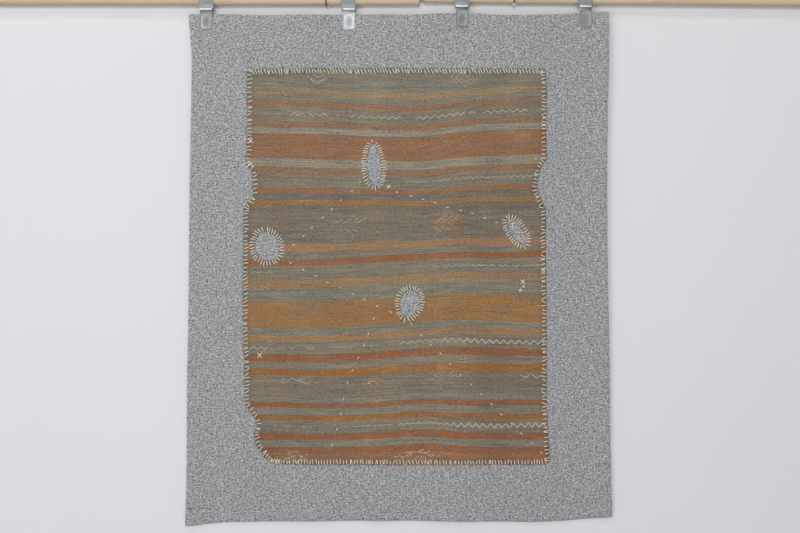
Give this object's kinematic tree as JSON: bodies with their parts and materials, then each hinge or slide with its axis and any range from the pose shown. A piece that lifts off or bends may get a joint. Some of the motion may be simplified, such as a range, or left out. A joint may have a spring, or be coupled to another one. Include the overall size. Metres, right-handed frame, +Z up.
{
  "type": "striped flat-woven rug sewn on a bordering cloth, hung by clips from a wooden pole",
  "caption": "Worn striped flat-woven rug whip-stitched to a wider grey cloth that frames it, hanging flat from steel clips on a round wooden pole.",
  "frame": {"origin": "on the pole's axis, halfway along it, where the wall holds it", "axes": "+X along the pole to the right as seen from the front, +Y from the front to the wall, +Z up"},
  "size_m": [1.8001, 0.041, 1.1862],
  "materials": {
    "backing_cloth": "coarse plain weave of grey and white flecked yarn",
    "rug": "faded wool flat weave, striped in sage, olive, rust and ochre",
    "pine": "smooth pale pine, lightly waxed",
    "joiner": "satin white paint",
    "loop_wire": "dark oiled wire",
    "clip_steel": "pressed zinc-plated steel"
  },
  "bodies": {
    "root": {"backing_cloth": "backing_cloth", "rug": "rug", "pole_left": "pine", "pole_right": "pine", "pole_joiner": "joiner", "pole_loop_left": "loop_wire", "pole_loop_right": "loop_wire", "clip_1_strap": "clip_steel", "clip_1_roll": "clip_steel", "clip_1_front_jaw": "clip_steel", "clip_1_back_jaw": "clip_steel", "clip_2_strap": "clip_steel", "clip_2_roll": "clip_steel", "clip_2_front_jaw": "clip_steel", "clip_2_back_jaw": "clip_steel", "clip_3_strap": "clip_steel", "clip_3_roll": "clip_steel", "clip_3_front_jaw": "clip_steel", "clip_3_back_jaw": "clip_steel", "clip_4_strap": "clip_steel", "clip_4_roll": "clip_steel", "clip_4_front_jaw": "clip_steel", "clip_4_back_jaw": "clip_steel"}
  },
  "joints": []
}
